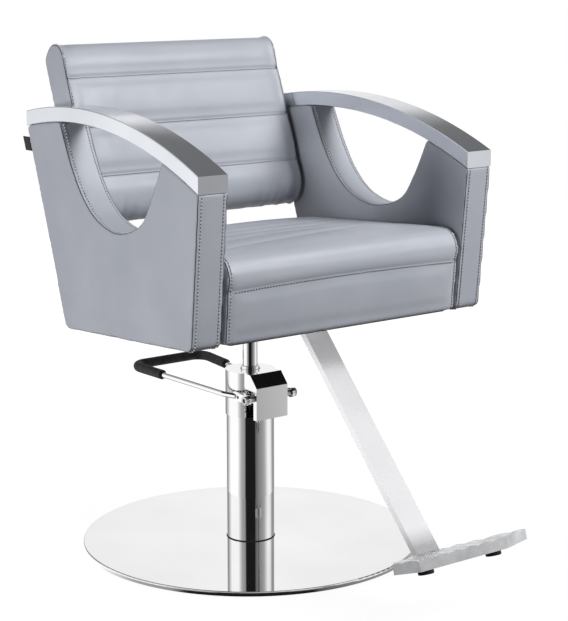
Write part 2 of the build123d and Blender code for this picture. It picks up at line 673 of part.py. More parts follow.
def build_tread():
    tops = tread_top_points()
    arcs = []
    for (xa, wa), (xb, wb) in zip(tops, tops[1:]):
        crest = RIDGE_H * min(1.0, (xb - xa) / RIDGE_PITCH)
        arcs.append(ThreePointArc((xa, wa), ((xa + xb) / 2, (wa + wb) / 2 + crest), (xb, wb)))
    tip = TREAD_WING_RISE - TREAD_H
    skirt_line = Polyline(tops[-1], (TREAD_HALF, tip), (TREAD_FLAT_HALF, -TREAD_H),
                          (-TREAD_FLAT_HALF, -TREAD_H), (-TREAD_HALF, tip), tops[0])
    tread = extrude(Plane.XZ * make_face([*arcs, skirt_line]), -TREAD_DEPTH)
    inside = TREAD_HALF - TREAD_SKIRT
    hollow = polygon((-inside, -TREAD_H - 1), (inside, -TREAD_H - 1),
                     (inside, wing_rise(inside) - TREAD_TOP_T), (TREAD_FLAT_HALF, -TREAD_TOP_T),
                     (-TREAD_FLAT_HALF, -TREAD_TOP_T), (-inside, wing_rise(inside) - TREAD_TOP_T))
    hollow = extrude(Plane.XZ * hollow, -TREAD_DEPTH)
    plan = polygon(*TREAD_PLAN, *[(-x, v) for x, v in reversed(TREAD_PLAN)])
    tread &= extrude(plan, 2 * TREAD_H, both=True)
    tread -= hollow & extrude(offset(plan, -TREAD_SKIRT, kind=Kind.INTERSECTION), 2 * TREAD_H, both=True)
    for side in SIDES.values():
        tread += disc(PAD_BOSS_R, -TREAD_H, -TREAD_TOP_T, side * PAD_X, PAD_V)
    slot = BAR_W / 2 + BAR_SLOT_GAP
    tread -= block(-slot, slot, BAR_SLOT_V, TREAD_DEPTH, -2 * TREAD_H, -TREAD_TOP_T)
    for v in footrest_screw_spots():
        tread -= rod((0, v, -TREAD_TOP_T), (0, v, -4.5), 3.05)
    save("footrest_tread", TREAD * tread)
    pads = []
    for side in SIDES.values():
        pad = disc(PAD_R, -TREAD_H - PAD_H, -TREAD_H, side * PAD_X, PAD_V)
        pad = chamfer(pad.edges().filter_by(GeomType.CIRCLE).sort_by(Axis.Z)[0], 1.0)
        pads.append(TREAD * pad)
    save("footrest_pads", *pads)


build_base()
build_cylinder()
build_pump_head()
build_valve()
build_lever()
build_piston()
panel_pieces = build_panels()
holes_in_frame = build_bracket()
holes_in_flange = build_footrest_bar()
build_tread()
build_seat(holes_in_frame, holes_in_flange, panel_pieces)
build_back(panel_pieces)
build_label(panel_pieces["left"][0])
for panel_name, (panel_cover, panel_core) in panel_pieces.items():
    save(f"{panel_name}_side_panel", panel_cover)
    save(f"{panel_name}_panel_core", panel_core)
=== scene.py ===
import json
import math

import bmesh
import bpy
import numpy as np
from mathutils import Matrix, Vector
from mathutils.bvhtree import BVHTree


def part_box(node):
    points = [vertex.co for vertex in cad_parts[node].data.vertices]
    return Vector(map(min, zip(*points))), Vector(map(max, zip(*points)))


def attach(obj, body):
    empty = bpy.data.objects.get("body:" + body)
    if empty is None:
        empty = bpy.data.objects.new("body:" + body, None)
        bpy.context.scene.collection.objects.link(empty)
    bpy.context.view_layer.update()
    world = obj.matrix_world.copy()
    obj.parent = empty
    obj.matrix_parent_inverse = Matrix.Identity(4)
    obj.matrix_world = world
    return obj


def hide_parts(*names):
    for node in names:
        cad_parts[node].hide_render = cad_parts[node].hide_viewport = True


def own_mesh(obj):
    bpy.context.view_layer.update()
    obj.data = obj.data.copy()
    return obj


# Styling chair, in metres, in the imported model's own frame: the centre of the base on the floor is the
# origin, +Z is up and the sitter faces -Y.

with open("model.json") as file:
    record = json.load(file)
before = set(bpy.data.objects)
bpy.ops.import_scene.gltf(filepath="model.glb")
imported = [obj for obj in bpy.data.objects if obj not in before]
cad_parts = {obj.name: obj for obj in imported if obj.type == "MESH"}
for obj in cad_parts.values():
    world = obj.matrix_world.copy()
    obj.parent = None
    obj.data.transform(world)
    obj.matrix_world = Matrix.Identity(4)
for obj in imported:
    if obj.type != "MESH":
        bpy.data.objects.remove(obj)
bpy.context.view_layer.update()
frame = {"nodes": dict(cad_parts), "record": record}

SIDES = {"left": -1, "right": 1}

# Seat: v runs backwards and w up, square to the seat's underside
SEAT_Z, SEAT_TILT = 0.440, 3.7
SEAT_HALF, SEAT_H = 0.251, 0.1535
SEAT_REAR, SEAT_REAR_R, SEAT_UNDER_R = 0.140, 0.030, 0.006
APRON_FOOT, APRON_SEAM, APRON_H = -0.2785, -0.2920, 0.0915
NOSE, NOSE_R, NOSE_RISE = -0.297, 0.038, 0.020
SEAM_ARCH, SIDE_GAP = 0.005, 0.0035
PLEATS = (-0.185, -0.135, -0.088, -0.040, 0.008, 0.056)
CROWN, CROWN_MIDDLE, CROWN_REACH = 0.007, -0.08, 0.24

# Back: v runs through its thickness and w up its lean, from the centre of its half-round top
BACK_PLACE, BACK_LEAN = (0.0, 0.2707, 0.902), 19.4
BACK_HALF, BACK_T = 0.250, 0.062
ROLL_R, ROLL_W = 0.050, -0.2596
QUILT_LINES = (-0.040, -0.134, -0.227)
BACK_BULGE = 0.0006

# Side panels: they stand on planes that close in towards the rear
PANEL_X, PANEL_YAW, PANEL_T = 0.325, 1.13, 0.061
PANEL_FRONT, PANEL_REAR = -0.296, 0.261
FOOT_FRONT, FOOT_REAR, FOOT_R = (-0.272, 0.456), (0.135, 0.430), 0.014
RAIL_CENTRE, RAIL_UNDER_R = (0.0855, -0.083), 0.8875
UNDER_RAIL, OPENING_LIP = 0.001, 0.0005
ARM_OPENING = [
    (-0.207, 0.797), (-0.187, 0.758), (-0.155, 0.695), (-0.118, 0.647), (-0.050, 0.626),
    (0.018, 0.640), (0.068, 0.677), (0.105, 0.729), (0.137, 0.793), (0.158, 0.845),
]

# Thin black ring round the foot of the column
COLUMN_R, DISC_TOP = 0.045, 0.010
FOOT_RING_R, FOOT_RING_LIFT, FOOT_RING_STEPS = 0.0011, 0.00066, 96

# Return spring of the pump's plunger, which stands on the valve block
SPRING_R, SPRING_WIRE_R, SPRING_TURNS, SPRING_STEPS = 0.0072, 0.0006, 4, 28

# Padding is remeshed, and the cushions are then blown up by cloth simulation from a slightly smaller shape
CUSHION_VOXEL, PANEL_VOXEL, SMOOTHING = 0.006, 0.004, 3
PRESSURE, CLOTH_FRAMES, SHRINK, HELD_BELOW = 4.0, 20, 0.002, 0.12

# How far each line holds the leather: fast below the first distance, free past the second
HELD_AT_SIDE, HELD_AT_APRON, HELD_AT_QUILT = (0.001, 0.026), (0.002, 0.020), (0.002, 0.024)
HELD_AT_FOOT, HELD_AT_SEAT_REAR, HELD_AT_BACK_REAR = (0.004, 0.030), (0.002, 0.030), (0.001, 0.016)

# How far forward a shape of the seat's or the back's front begins, and where it is complete
APRON_HOLDS, APRON_SINKS, SEAT_SIDE_SINKS, BACK_FRONT = (0.25, 0.28), (0.24, 0.27), (0.20, 0.26), (0.0, 0.02)

# Channels that sewing draws into the leather: depth, half-width of the crease, half-width of the hollow
APRON_CHANNEL = (0.0020, 0.0030, 0.009)
SEAT_SIDE_CHANNEL = (0.0012, 0.003, 0.007)
PLEAT_CHANNEL = (0.0060, 0.0075, 0.018)
QUILT_CHANNEL = (0.0056, 0.0030, 0.019)
BACK_END_CHANNEL = (0.0018, 0.007, 0.013)
SEAT_SIDE_CHANNEL_IN, BACK_END_CHANNEL_IN = 0.010, 0.020
BACK_END_SINK, GATHER_DEPTH = 0.0035, 0.0011

# Sewing. A row on the seat's apron or the back lies a little below its channel, and stops short of the ends.
STITCH_PITCH, STITCH_LENGTH, STITCH_R = 0.0060, 0.0034, 0.0011
# SEAM_R and NEEDLE_LINE_R are radii of dark half-sunk lines that paint shade: in the valley of a sewn join,
# and in the needle holes under a row of stitches
SEAM_R, NEEDLE_LINE_R, LINE_PITCH, LINE_SUNK = 0.0009, 0.00105, 0.004, 0.45
SEAM_INSET, STITCH_GAP = 0.002, 0.0066
SEAT_SEAM_INSET, SEAT_ROW_INSET = 0.003, 0.009
APRON_ROW_DROP, APRON_ROW_END = 0.0022, 0.013
QUILT_ROW_DROP, QUILT_ROW_END = 0.0024, 0.009
ROW_POINTS, LOOK_FROM = 60, 0.06
# One stitch: places along it in stitch lengths, heights in stitch radii, and girths
STITCH_SHAPE = [(-0.5, -0.6, 0.5), (-0.33, 0.5, 0.9), (0.0, 0.85, 1.0), (0.33, 0.5, 0.9), (0.5, -0.6, 0.5)]


def leaning(place, degrees):
    """A frame at a place, leaning back by some degrees."""
    return Matrix.Translation(place) @ Matrix.Rotation(math.radians(-degrees), 4, "X")


SEAT = leaning((0, 0, SEAT_Z), SEAT_TILT)
BACK = leaning(BACK_PLACE, BACK_LEAN)


def panel_plane(side):
    """A side panel's own frame, turned about the front edge of its outer face: x is square to the panel, from
    the middle of its thickness, y runs along it and z is up."""
    pivot = Matrix.Translation((side * PANEL_X, PANEL_FRONT, 0))
    turn = pivot @ Matrix.Rotation(math.radians(side * PANEL_YAW), 4, "Z") @ pivot.inverted()
    return turn @ Matrix.Translation((side * (PANEL_X - PANEL_T / 2), 0, 0))


# ---------------------------------------------------------------- outlines


def arc(centre, radius, start, end, steps):
    """Points on a circle, from one angle to another in degrees."""
    angles = np.radians(np.linspace(start, end, steps))
    return [(centre[0] + radius * math.cos(a), centre[1] + radius * math.sin(a)) for a in angles]


def rounded(points, radii, steps=7):
    """A closed outline whose corner i is rounded to radii[i]."""
    outline = []
    for i, corner in enumerate(points):
        here = Vector(corner)
        before = (Vector(points[i - 1]) - here).normalized()
        after = (Vector(points[(i + 1) % len(points)]) - here).normalized()
        if radii[i] == 0:
            outline.append(tuple(here))
            continue
        half = before.angle(after) / 2
        reach = radii[i] / math.tan(half)
        centre = here + (before + after).normalized() * radii[i] / math.sin(half)
        start, end = here + before * reach - centre, here + after * reach - centre
        for k in range(steps):
            t = k / (steps - 1)
            spoke = (start * (1 - t) + end * t).normalized()
            outline.append(tuple(centre + spoke * radii[i]))
    return outline


def spline_through(points, steps=8):
    """A smooth line through points, as a Catmull-Rom curve."""
    p = [Vector(q) for q in points]
    p = [2 * p[0] - p[1], *p, 2 * p[-1] - p[-2]]
    line = []
    for a, b, c, d in zip(p, p[1:], p[2:], p[3:]):
        for k in range(steps):
            t = k / steps
            line.append(0.5 * ((2 * b) + (c - a) * t + (2 * a - 5 * b + 4 * c - d) * t**2
                               + (3 * b - a - 3 * c + d) * t**3))
    return [tuple(q) for q in [*line, p[-2]]]


def rail_z(y):
    """Height of the arm rail's underside at depth y."""
    return RAIL_CENTRE[1] + math.sqrt(RAIL_UNDER_R**2 - (y - RAIL_CENTRE[0]) ** 2)


def seat_outline():
    corners = [(APRON_FOOT, 0), (APRON_SEAM, APRON_H), (NOSE, APRON_H + NOSE_RISE), (NOSE, SEAT_H),
               (SEAT_REAR, SEAT_H), (SEAT_REAR, 0)]
    return rounded(corners, [SEAT_UNDER_R, 0, 0, NOSE_R, SEAT_REAR_R, SEAT_UNDER_R])


def back_outline():
    half = BACK_T / 2
    centre = ROLL_R - half
    rear_angle = math.degrees(math.acos((half - centre) / ROLL_R))
    top = arc((0, 0), half, 180, 0, 13)
    roll = arc((centre, ROLL_W), ROLL_R, -rear_angle, -180, 21)
    return top + roll


def opening_line():
    """The U of the arm opening, from under the rail at the front round to under it at the rear."""
    return [(y, z) for y, z in spline_through(ARM_OPENING) if z < rail_z(y) - UNDER_RAIL]


def panel_foot():
    """Down the panel's front edge, along its foot and up its rear edge."""
    front_top, rear_top = (PANEL_FRONT, rail_z(PANEL_FRONT)), (PANEL_REAR, rail_z(PANEL_REAR))
    return rounded([front_top, FOOT_FRONT, FOOT_REAR, rear_top], [0, FOOT_R, FOOT_R, 0])


def panel_outline():
    opening = opening_line()
    front_y, rear_y = opening[0][0] - OPENING_LIP, opening[-1][0] + OPENING_LIP
    rear_run = [(y, rail_z(y)) for y in np.linspace(PANEL_REAR, rear_y, 7)[1:]]
    front_run = [(y, rail_z(y)) for y in np.linspace(front_y, PANEL_FRONT, 6)[:-1]]
    return panel_foot() + rear_run + opening[::-1] + front_run


# ---------------------------------------------------------------- meshes


def new_piece(name, mesh, material, body="chair"):
    piece = bpy.data.objects.new(name, mesh)
    bpy.context.scene.collection.objects.link(piece)
    mesh.materials.clear()
    mesh.materials.append(material)
    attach(piece, body)
    return piece


def extruded(name, outline, half, place):
    """A closed solid: an outline in a frame's y and z, drawn out by half each way along x."""
    bm = bmesh.new()
    rings = [[bm.verts.new(place @ Vector((x, y, z))) for y, z in outline] for x in (-half, half)]
    bm.faces.new(rings[0])
    bm.faces.new(rings[1][::-1])
    for i in range(len(outline)):
        j = (i + 1) % len(outline)
        bm.faces.new([rings[0][i], rings[1][i], rings[1][j], rings[0][j]])
    bmesh.ops.recalc_face_normals(bm, faces=bm.faces)
    mesh = bpy.data.meshes.new(name)
    bm.to_mesh(mesh)
    bm.free()
    return mesh


def applied(piece):
    """Make what the modifiers show the piece's own mesh."""
    bpy.context.view_layer.update()
    depsgraph = bpy.context.evaluated_depsgraph_get()
    mesh = bpy.data.meshes.new_from_object(piece.evaluated_get(depsgraph))
    piece.modifiers.clear()
    piece.data = mesh
    return mesh


def points_of(mesh):
    found = np.zeros(len(mesh.vertices) * 3)
    mesh.vertices.foreach_get("co", found)
    return found.reshape(-1, 3)


def normals_of(mesh):
    found = np.zeros(len(mesh.vertices) * 3)
    mesh.vertices.foreach_get("normal", found)
    return found.reshape(-1, 3)


def move_points(mesh, points):
    mesh.vertices.foreach_set("co", points.ravel())
    mesh.update()


def in_frame(place, points):
    """World points in a leaning frame's own coordinates."""
    inverse = np.array(place.inverted())
    return points @ inverse[:3, :3].T + inverse[:3, 3]


def from_frame(place, points):
    turn = np.array(place)
    return points @ turn[:3, :3].T + turn[:3, 3]


def remeshed(piece, voxel, smoothing):
    remesh = piece.modifiers.new("remesh", "REMESH")
    remesh.mode = "VOXEL"
    remesh.voxel_size = voxel
    smooth = piece.modifiers.new("smooth", "SMOOTH")
    smooth.iterations = smoothing
    return applied(piece)


def puffed(piece, free, cap):
    """Blow the piece up by cloth simulation. A point moves by cap times its freedom at most, and one with
    next to no freedom is held."""
    mesh = piece.data
    free, outward = free[:, None], normals_of(mesh)
    start = points_of(mesh) - SHRINK * outward * free
    move_points(mesh, start)
    sewn = piece.vertex_groups.new(name="sewn")
    sewn.add(np.flatnonzero(free < HELD_BELOW).tolist(), 1.0, "REPLACE")
    cloth = piece.modifiers.new("cloth", "CLOTH")
    cloth.settings.vertex_group_mass = "sewn"
    cloth.settings.use_pressure = True
    cloth.settings.uniform_pressure_force = PRESSURE
    cloth.settings.effector_weights.gravity = 0
    scene = bpy.context.scene
    for step in range(1, CLOTH_FRAMES + 1):
        scene.frame_set(step)
    mesh = applied(piece)
    piece.vertex_groups.clear()
    scene.frame_set(1)
    moved = points_of(mesh) - start
    moved -= outward * np.minimum((moved * outward).sum(axis=1, keepdims=True), 0)
    length = np.linalg.norm(moved, axis=1, keepdims=True) + 1e-9
    move_points(mesh, start + moved * free * cap * np.tanh(length / cap) / length)


def subdivided(piece):
    finer = piece.modifiers.new("finer", "SUBSURF")
    finer.levels = finer.render_levels = 1
    mesh = applied(piece)
    mesh.shade_smooth()
    return mesh


def groove(distance, depth, narrow, wide):
    """Depth of a sewn channel at a distance from its line: a narrow crease in a wide soft hollow."""
    crease = np.exp(-(distance / narrow) ** 2)
    hollow = np.exp(-(distance / wide) ** 2)
    return depth * (0.5 * crease + 0.5 * hollow)


def ramp(value, low, high):
    """0 below low, 1 above high, and smooth between."""
    t = np.clip((value - low) / (high - low), 0, 1)
    return t * t * (3 - 2 * t)


# ---------------------------------------------------------------- sewing


def evenly(points, pitch):
    """The same line as points a pitch apart, each with its direction."""
    points = [Vector(p) for p in points]
    spots, left = [], pitch / 2
    for a, b in zip(points, points[1:]):
        run = (b - a).length
        if run < 1e-9:
            continue
        while left <= run:
            spots.append((a.lerp(b, left / run), (b - a).normalized()))
            left += pitch
        left -= run
    return spots


def seen_from_front(tree, place, line):
    """A line's points moved along a leaning frame's v axis onto the surface, as seen from the front."""
    ahead = place.to_3x3() @ Vector((0, 1, 0))
    return [tree.ray_cast(point - ahead * LOOK_FROM, ahead)[0] or point for point in line]


def surface_tree(piece):
    return BVHTree.FromPolygons([v.co for v in piece.data.vertices],
                                [p.vertices for p in piece.data.polygons])


def tube(bm, rings_of, endless=False):
    """A round bar through rings of points, capped at both ends or joined up as one endless ring."""
    rings = [[bm.verts.new(p) for p in ring] for ring in rings_of]
    around = len(rings[0])
    following = rings[1:] + rings[:1] if endless else rings[1:]
    for lower, upper in zip(rings, following):
        for k in range(around):
            j = (k + 1) % around
            bm.faces.new([lower[k], lower[j], upper[j], upper[k]])
    if not endless:
        bm.faces.new(rings[0][::-1])
        bm.faces.new(rings[-1])


def ring_about(middle, across, up, radius, around=6):
    angles = [2 * math.pi * k / around for k in range(around)]
    return [middle + (across * math.cos(a) + up * math.sin(a)) * radius for a in angles]


def smooth_piece(name, bm, material, body="chair"):
    bmesh.ops.recalc_face_normals(bm, faces=bm.faces)
    mesh = bpy.data.meshes.new(name)
    bm.to_mesh(mesh)
    bm.free()
    mesh.shade_smooth()
    return new_piece(name, mesh, material, body)


def stitches(name, tree, lines):
    """Rows of thread on a piece's surface. Each stitch dips into the leather at both ends."""
    bm = bmesh.new()
    for line in lines:
        for spot, along in evenly(line, STITCH_PITCH):
            place, up, _, _ = tree.find_nearest(spot)
            along = (along - up * along.dot(up)).normalized()
            across = up.cross(along)
            tube(bm, [ring_about(place + along * reach * STITCH_LENGTH + up * lift * STITCH_R,
                                 across, up, STITCH_R * girth) for reach, lift, girth in STITCH_SHAPE])
    return smooth_piece(name, bm, MATERIALS["thread"])


def painted_shade_lines(name, tree, lines, radius):
    """Dark lines half sunk in a piece's surface, which paint shade: the shadow in the valley of a sewn join,
    or in the holes under a row of stitches.
    """
    bm = bmesh.new()
    for line in lines:
        rings = []
        for spot, along in evenly(line, LINE_PITCH):
            place, up, _, _ = tree.find_nearest(spot)
            along = (along - up * along.dot(up)).normalized()
            rings.append(ring_about(place - up * radius * LINE_SUNK, up.cross(along), up, radius))
        tube(bm, rings)
    return smooth_piece(name, bm, MATERIALS["seam"])


def sew(name, piece, seams, rows):
    """Dark lines that paint the shade in sewn joins' valleys and under rows of stitches, and the rows of
    stitches, along lines that lie on or near a piece's surface.
    """
    tree = surface_tree(piece)
    if seams:
        # Dark lines that paint the shade in the valley of each sewn join
        painted_shade_lines(f"{name}_seams", tree, seams, SEAM_R)
    # Dark lines that paint the shade in the needle holes under each row of stitches
    painted_shade_lines(f"{name}_painted_needle_hole_shade", tree, rows, NEEDLE_LINE_R)
    stitches(f"{name}_stitches", tree, rows)


# ---------------------------------------------------------------- materials


class Shader:
    """A procedural material that reads object coordinates, in metres."""

    def __init__(self, name, colour, roughness, metallic=0.0):
        self.material = bpy.data.materials.new(name)
        self.material.use_nodes = True
        self.nodes = self.material.node_tree.nodes
        self.links = self.material.node_tree.links
        self.surface = self.nodes["Principled BSDF"]
        self.surface.inputs["Metallic"].default_value = metallic
        self.surface.inputs["Base Color"].default_value = (*colour, 1)
        self.surface.inputs["Roughness"].default_value = roughness
        self.coordinates = self.nodes.new("ShaderNodeTexCoord").outputs["Object"]
        self.height = None

    def stretched(self, scale):
        mapping = self.nodes.new("ShaderNodeMapping")
        mapping.inputs["Scale"].default_value = scale
        self.links.new(self.coordinates, mapping.inputs["Vector"])
        return mapping.outputs["Vector"]

    def noise(self, scale, detail=3.0, stretch=None):
        node = self.nodes.new("ShaderNodeTexNoise")
        node.inputs["Scale"].default_value = scale
        node.inputs["Detail"].default_value = detail
        source = self.coordinates if stretch is None else self.stretched(stretch)
        self.links.new(source, node.inputs["Vector"])
        return node.outputs["Fac"]

    def cells(self, scale):
        node = self.nodes.new("ShaderNodeTexVoronoi")
        node.inputs["Scale"].default_value = scale
        self.links.new(self.coordinates, node.inputs["Vector"])
        return node.outputs["Distance"]

    def ranged(self, value, low, high, from_low=0.3, from_high=0.7):
        node = self.nodes.new("ShaderNodeMapRange")
        node.inputs["From Min"].default_value = from_low
        node.inputs["From Max"].default_value = from_high
        node.inputs["To Min"].default_value = low
        node.inputs["To Max"].default_value = high
        self.links.new(value, node.inputs["Value"])
        return node.outputs["Result"]

    def colour_from(self, value, dark, light, from_low=0.3, from_high=0.7):
        node = self.nodes.new("ShaderNodeValToRGB")
        node.color_ramp.elements[0].position = from_low
        node.color_ramp.elements[1].position = from_high
        node.color_ramp.elements[0].color = (*dark, 1)
        node.color_ramp.elements[1].color = (*light, 1)
        self.links.new(value, node.inputs["Fac"])
        self.links.new(node.outputs["Color"], self.surface.inputs["Base Color"])

    def roughness_from(self, value, low, high):
        self.links.new(self.ranged(value, low, high), self.surface.inputs["Roughness"])

    def bump(self, value, strength, distance):
        node = self.nodes.new("ShaderNodeBump")
        node.inputs["Strength"].default_value = strength
        node.inputs["Distance"].default_value = distance
        self.links.new(value, node.inputs["Height"])
        if self.height is not None:
            self.links.new(self.height, node.inputs["Normal"])
        self.height = node.outputs["Normal"]
        self.links.new(self.height, self.surface.inputs["Normal"])


def leather():
    shader = Shader("leather", (0.36, 0.38, 0.43), 0.45)
    shader.colour_from(shader.noise(9.0, 4.0), (0.345, 0.362, 0.406), (0.387, 0.404, 0.448))
    shader.roughness_from(shader.noise(38.0, 4.0), 0.40, 0.52)
    shader.bump(shader.cells(720.0), 0.22, 0.0003)
    shader.bump(shader.noise(260.0, 5.0), 0.18, 0.0005)
    shader.bump(shader.noise(24.0, 3.0), 0.25, 0.002)
    shader.surface.inputs["Specular IOR Level"].default_value = 0.42
    return shader.material


# Dark grey colour of the half-sunk lines that paint shade in sewn joins' valleys and in needle holes
def seam():
    shader = Shader("seam", (0.05, 0.053, 0.06), 0.7)
    shader.colour_from(shader.noise(420.0), (0.035, 0.037, 0.044), (0.075, 0.08, 0.09))
    shader.bump(shader.noise(1500.0), 0.3, 0.0002)
    return shader.material


def thread():
    shader = Shader("thread", (0.60, 0.61, 0.65), 0.6)
    shader.colour_from(shader.noise(900.0), (0.66, 0.67, 0.70), (0.88, 0.89, 0.92))
    shader.bump(shader.noise(2600.0), 0.4, 0.0002)
    shader.surface.inputs["Sheen Weight"].default_value = 0.2
    return shader.material


def polished_steel():
    shader = Shader("polished_steel", (0.80, 0.80, 0.82), 0.05, 1.0)
    shader.colour_from(shader.noise(5.0), (0.86, 0.86, 0.865), (0.92, 0.92, 0.925))
    shader.roughness_from(shader.noise(7.0, 5.0), 0.015, 0.05)
    return shader.material


def satin_steel():
    """The footrest's bar: chromed, but less even than the column."""
    shader = Shader("satin_steel", (0.76, 0.76, 0.77), 0.28, 0.45)
    shader.colour_from(shader.noise(6.0), (0.71, 0.71, 0.73), (0.79, 0.79, 0.80))
    shader.roughness_from(shader.noise(9.0, 5.0), 0.22, 0.32)
    shader.bump(shader.noise(1.0, 2.0, (700.0, 20.0, 20.0)), 0.04, 0.0003)
    return shader.material


def polished_aluminium():
    shader = Shader("polished_aluminium", (0.80, 0.82, 0.86), 0.15, 0.85)
    shader.colour_from(shader.noise(6.0), (0.76, 0.785, 0.83), (0.84, 0.86, 0.895))
    shader.roughness_from(shader.noise(14.0, 5.0), 0.11, 0.20)
    shader.bump(shader.noise(1.0, 2.0, (900.0, 24.0, 24.0)), 0.05, 0.0003)
    return shader.material


def cast_aluminium():
    """The footrest's tread: polished castings show clouds and a coarser grain."""
    shader = Shader("cast_aluminium", (0.82, 0.825, 0.85), 0.26, 0.7)
    shader.colour_from(shader.noise(30.0, 5.0), (0.70, 0.705, 0.73), (0.94, 0.945, 0.96))
    shader.roughness_from(shader.noise(50.0, 4.0), 0.20, 0.34)
    shader.bump(shader.noise(160.0, 3.0), 0.04, 0.0003)
    return shader.material


def plain_steel():
    shader = Shader("plain_steel", (0.48, 0.48, 0.49), 0.35, 1.0)
    shader.colour_from(shader.noise(22.0, 5.0), (0.40, 0.40, 0.41), (0.56, 0.56, 0.57))
    shader.roughness_from(shader.noise(60.0, 4.0), 0.28, 0.46)
    shader.bump(shader.noise(1.0, 2.0, (120.0, 120.0, 1500.0)), 0.08, 0.0002)
    return shader.material


def zinc_steel():
    shader = Shader("zinc_steel", (0.60, 0.60, 0.56), 0.38, 1.0)
    shader.colour_from(shader.noise(90.0, 5.0), (0.50, 0.50, 0.48), (0.70, 0.69, 0.64))
    shader.roughness_from(shader.noise(140.0), 0.30, 0.50)
    return shader.material


def dark_steel():
    shader = Shader("dark_steel", (0.02, 0.02, 0.022), 0.45)
    shader.colour_from(shader.noise(18.0, 4.0), (0.016, 0.016, 0.018), (0.032, 0.032, 0.035))
    shader.roughness_from(shader.noise(45.0), 0.38, 0.55)
    shader.bump(shader.noise(700.0, 2.0), 0.25, 0.0003)
    return shader.material


def black_rubber():
    shader = Shader("black_rubber", (0.012, 0.012, 0.013), 0.6)
    shader.colour_from(shader.noise(30.0, 5.0), (0.009, 0.009, 0.010), (0.022, 0.022, 0.024))
    shader.roughness_from(shader.noise(80.0, 4.0), 0.50, 0.72)
    shader.bump(shader.noise(900.0, 3.0), 0.3, 0.0003)
    return shader.material


def black_plastic():
    shader = Shader("black_plastic", (0.014, 0.014, 0.015), 0.42)
    shader.colour_from(shader.noise(40.0, 3.0), (0.011, 0.011, 0.012), (0.020, 0.020, 0.022))
    shader.roughness_from(shader.noise(120.0), 0.36, 0.50)
    shader.bump(shader.cells(1400.0), 0.2, 0.0002)
    return shader.material


def black_fabric():
    shader = Shader("black_fabric", (0.012, 0.012, 0.014), 0.85)
    weave = shader.nodes.new("ShaderNodeTexWave")
    weave.inputs["Scale"].default_value = 260.0
    weave.inputs["Distortion"].default_value = 0.6
    shader.links.new(shader.coordinates, weave.inputs["Vector"])
    shader.colour_from(weave.outputs["Fac"], (0.008, 0.008, 0.009), (0.024, 0.024, 0.027))
    shader.bump(weave.outputs["Fac"], 0.5, 0.0003)
    shader.surface.inputs["Sheen Weight"].default_value = 0.3
    return shader.material


def foam():
    shader = Shader("foam", (0.80, 0.74, 0.55), 0.9)
    shader.colour_from(shader.noise(30.0, 4.0), (0.74, 0.67, 0.48), (0.84, 0.79, 0.62))
    shader.bump(shader.cells(900.0), 0.4, 0.0005)
    return shader.material


def timber():
    shader = Shader("timber", (0.50, 0.34, 0.19), 0.6)
    shader.colour_from(shader.noise(1.0, 5.0, (14.0, 90.0, 90.0)), (0.42, 0.27, 0.14), (0.60, 0.43, 0.26))
    shader.roughness_from(shader.noise(60.0), 0.5, 0.7)
    shader.bump(shader.noise(1.0, 3.0, (40.0, 600.0, 600.0)), 0.2, 0.0004)
    return shader.material


MATERIALS = {
    "leather": leather(), "seam": seam(), "thread": thread(), "foam": foam(), "timber": timber(),
    "polished_steel": polished_steel(), "satin_steel": satin_steel(), "plain_steel": plain_steel(),
    "zinc_steel": zinc_steel(), "dark_steel": dark_steel(), "polished_aluminium": polished_aluminium(),
    "cast_aluminium": cast_aluminium(), "black_rubber": black_rubber(), "black_plastic": black_plastic(),
    "black_fabric": black_fabric(),
}

# CAD nodes that look different from the rest of their slot
FINISHES = {
    "footrest_bar": "satin_steel", "footrest_tread": "cast_aluminium", "piston_wiper": "polished_steel",
}


def finish_cad_nodes():
    for part in frame["record"]["subparts"]:
        node = frame["nodes"][part["node"]]
        node.data.materials.clear()
        node.data.materials.append(MATERIALS[part["material_slot"]])
    for node, finish in FINISHES.items():
        frame["nodes"][node].data.materials[0] = MATERIALS[finish]


# ---------------------------------------------------------------- upholstery


def drawn_in(piece, place, sink):
    """Refine a piece and draw its leather in. The result is its points in a leaning frame's coordinates."""
    mesh = subdivided(piece)
    local, normal = in_frame(place, points_of(mesh)), normals_of(mesh)
    return in_frame(place, from_frame(place, local) - normal * sink(*local.T)[:, None])


def seat_point(x, v, w):
    """A point of the seat, whose sides close in towards the rear as the panels do."""
    half = PANEL_X - PANEL_T - SIDE_GAP - (v - PANEL_FRONT) * math.tan(math.radians(PANEL_YAW))
    return SEAT @ Vector((x * half / SEAT_HALF, v, w))


def seat_seam_w(x):
    """Height of the apron's sewn join, which arches a little across the seat."""
    return APRON_H + SEAM_ARCH * (1 - (x / SEAT_HALF) ** 2)


def pleat_v(k, x):
    """Where pleat k lies on the seat at x: each is a little slanted and wavy."""
    return PLEATS[k] + 0.006 * np.sin(9.0 * x + 1.7 * k) + 0.10 * (x - 0.05) * (1 - 0.35 * k)


def gathers(x):
    """Uneven folds, from side to side, of the leather drawn in under the back's roll."""
    return np.sin(150 * x + 2.0 * np.sin(23 * x)) + 0.6 * np.sin(260 * x + 3.0 * np.sin(31 * x)) + 1.0


def seat_freedom(x, v, w):
    """How free the seat's leather is to puff out, from 0 where it is held to 1."""
    free = 1 - ramp(-v, *APRON_HOLDS) * (1 - ramp(np.abs(w - seat_seam_w(x)), *HELD_AT_APRON))
    free *= ramp(SEAT_HALF - np.abs(x), *HELD_AT_SIDE) * ramp(w, *HELD_AT_FOOT)
    return free * ramp(SEAT_REAR - v, *HELD_AT_SEAT_REAR)


